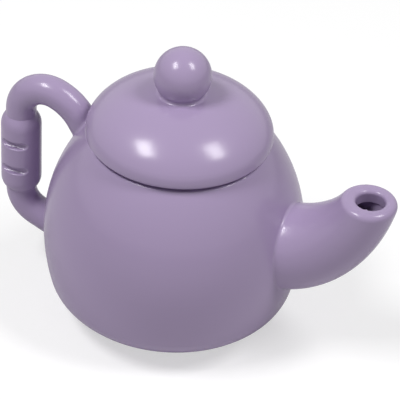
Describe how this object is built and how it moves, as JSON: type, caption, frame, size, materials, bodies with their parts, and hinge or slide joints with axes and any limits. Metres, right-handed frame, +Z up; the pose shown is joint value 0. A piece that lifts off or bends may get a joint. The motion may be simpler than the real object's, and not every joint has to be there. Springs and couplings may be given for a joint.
{
  "type": "toy teapot",
  "caption": "Rounded toy teapot with a curved hollow spout, a loop handle with a grooved grip, and a domed lift-off lid with a ball knob.",
  "frame": {"origin": "centre of the flat foot that the pot stands on", "axes": "+Z up along the axis of the pot and its lid, +X towards the spout, -X towards the handle, +Y to the left when looking along the spout"},
  "size_m": [0.1463, 0.0916, 0.1077],
  "materials": {
    "pot_plastic": "smooth glossy lilac moulded plastic",
    "lid_plastic": "smooth glossy lilac moulded plastic"
  },
  "bodies": {
    "root": {"pot": "pot_plastic", "lid": "lid_plastic"}
  },
  "joints": []
}
